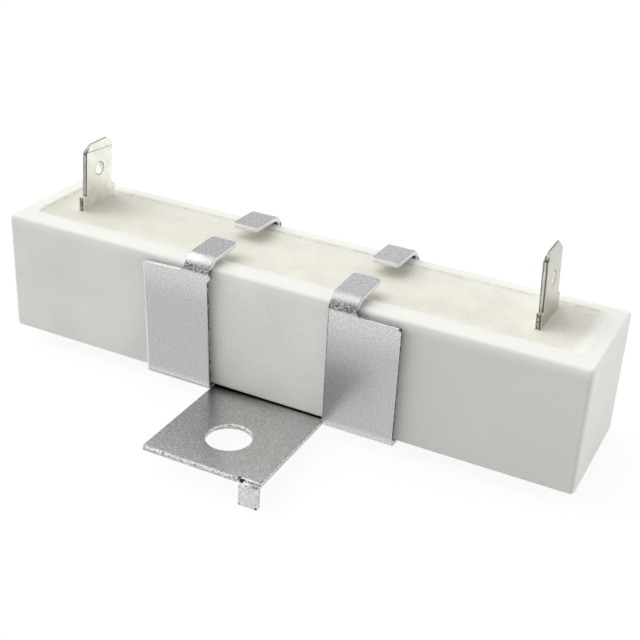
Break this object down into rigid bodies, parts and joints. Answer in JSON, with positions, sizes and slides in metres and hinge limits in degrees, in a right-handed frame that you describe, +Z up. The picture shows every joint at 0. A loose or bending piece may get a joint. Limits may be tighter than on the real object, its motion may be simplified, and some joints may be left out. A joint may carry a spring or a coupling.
{
  "type": "chassis mount resistor",
  "caption": "Wirewound resistor potted in a long ceramic trough, with upright blade terminals and a folded steel bracket whose screw plate stands out in front.",
  "frame": {"origin": "centre of the screw hole, on the underside of the bracket", "axes": "+X along the ceramic case, from the left terminal to the right one; +Y from the screw plate towards the case; +Z up, away from the chassis, the way the screw comes out"},
  "size_m": [0.09, 0.039, 0.0323],
  "materials": {
    "case_ceramic": "matte",
    "potting_cement": "matte",
    "core_ceramic": "matte",
    "resistance_wire": "satin",
    "cap_steel": "satin",
    "tinned_terminal": "satin",
    "plated_bracket": "satin"
  },
  "bodies": {
    "root": {"ceramic_case": "case_ceramic", "cement_fill": "potting_cement", "core_rod": "core_ceramic", "resistance_winding": "resistance_wire", "end_cap_left": "cap_steel", "end_cap_right": "cap_steel", "terminal_left": "tinned_terminal", "terminal_right": "tinned_terminal", "mounting_bracket": "plated_bracket"}
  },
  "joints": []
}
